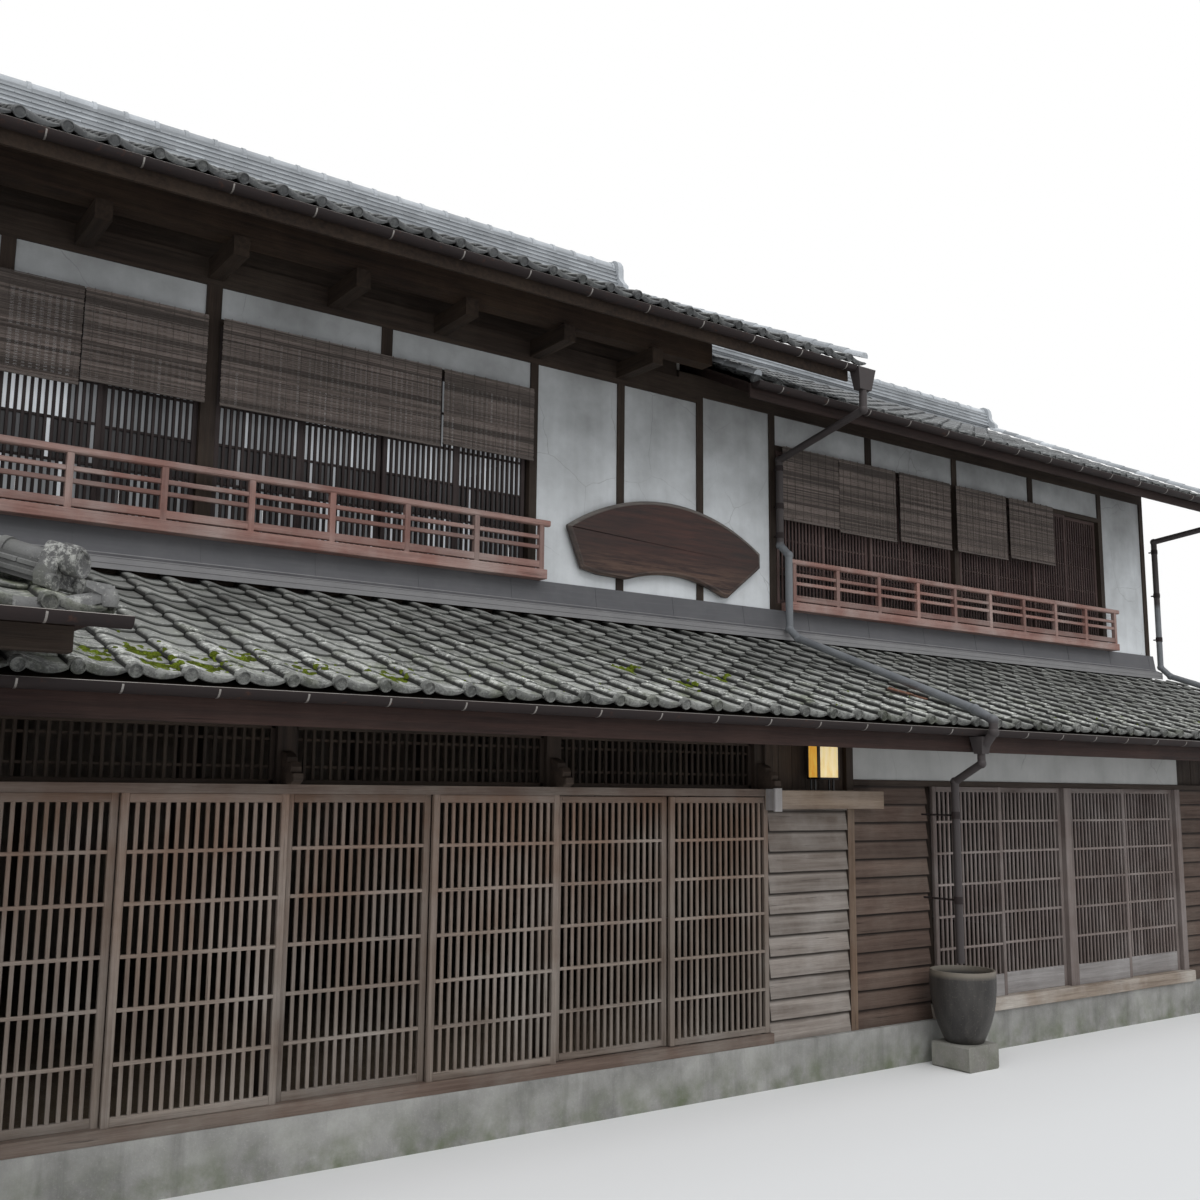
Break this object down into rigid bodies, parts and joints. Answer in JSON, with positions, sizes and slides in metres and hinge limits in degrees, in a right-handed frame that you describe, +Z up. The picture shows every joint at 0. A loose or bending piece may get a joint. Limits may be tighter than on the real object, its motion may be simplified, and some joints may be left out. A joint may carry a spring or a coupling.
{
  "type": "machiya townhouse",
  "caption": "Two-storey timber townhouse with lattice fronts, sliding lattice doors, tiled lower and main roofs, balcony railings, bamboo blinds, a fan-shaped board and rain gutters",
  "frame": {"origin": "lowest ground point under the front face, on the line where the left and the right block meet, on the underside of the front footing", "axes": "+X to the right along the front, +Y into the house, +Z up"},
  "size_m": [19.535, 10.669, 8.8883],
  "materials": {
    "footing_stone": "rough weathered concrete and stone",
    "packed_earth": "dull packed earth",
    "floor_boards": "dull planed boards",
    "wall_plaster": "matt lime plaster with grey stains",
    "dark_timber": "dark weathered timber, matt",
    "lattice_wood": "grey-brown weathered timber, matt",
    "grey_boards": "weathered clapboards with raised grain",
    "sill_wood": "light brown planed timber",
    "lantern_paper": "warm translucent panes in a black frame",
    "roof_tile": "fired grey tile with lichen and moss",
    "gutter_metal": "dull dark brown painted sheet",
    "flashing_metal": "dull blue-grey sheet",
    "window_glass": "clear glass over pale paper",
    "red_timber": "faded red-brown paint on timber",
    "bamboo": "dry split bamboo, matt",
    "sign_wood": "dark reddish weathered board",
    "glazed_clay": "dark unglazed clay with a lighter rim"
  },
  "bodies": {
    "house": {"long_footings": "footing_stone", "side_footings": "footing_stone", "ground_floor": "packed_earth", "upper_floor": "floor_boards", "side_walls_lower": "wall_plaster", "side_walls_upper": "wall_plaster", "middle_gable": "wall_plaster", "ground_posts": "dark_timber", "girders": "dark_timber", "door_sill": "lattice_wood", "door_lintel": "lattice_wood", "transom_lattice": "dark_timber", "fixed_lattice_outer": "lattice_wood", "fixed_lattice_inner": "lattice_wood", "clapboard_wall_left": "grey_boards", "clapboard_wall_right": "grey_boards", "lantern_shelf": "grey_boards", "lantern": "lantern_paper", "plaster_band": "wall_plaster", "right_lattice_inner": "lattice_wood", "right_lattice_outer": "lattice_wood", "window_sill_beam": "sill_wood", "pent_deck": "dark_timber", "pent_fascia": "dark_timber", "pent_tiles": "roof_tile", "pent_gutter": "gutter_metal", "wall_flashing": "flashing_metal", "porch_frame": "dark_timber", "porch_roof": "roof_tile", "porch_ridges": "roof_tile", "upper_posts": "dark_timber", "upper_plaster": "wall_plaster", "wall_plates": "dark_timber", "window_beams": "dark_timber", "front_sashes": "dark_timber", "back_sashes": "dark_timber", "window_glass": "window_glass", "railings": "red_timber", "bamboo_blinds": "bamboo", "fan_board": "sign_wood", "bracket_arms": "dark_timber", "eave_purlins": "dark_timber", "left_roof_deck": "dark_timber", "left_roof_tiles": "roof_tile", "left_ridge": "roof_tile", "left_gutter": "gutter_metal", "right_roof_deck": "dark_timber", "right_roof_tiles": "roof_tile", "right_ridge": "roof_tile", "right_gutter": "gutter_metal", "downpipe_middle": "gutter_metal", "downpipe_right": "gutter_metal", "rain_jar": "glazed_clay", "back_wall": "grey_boards"},
    "door_left": {"lattice_door_left": "lattice_wood"},
    "door_right": {"lattice_door_right": "lattice_wood"}
  },
  "joints": [
    {"name": "right_door_slide", "type": "slide", "parent": "house", "child": "door_right", "axis": [1, 0, 0], "range_m": [-0.93, 0]},
    {"name": "left_door_slide", "type": "slide", "parent": "house", "child": "door_left", "axis": [1, 0, 0], "range_m": [0, 0.93]}
  ]
}
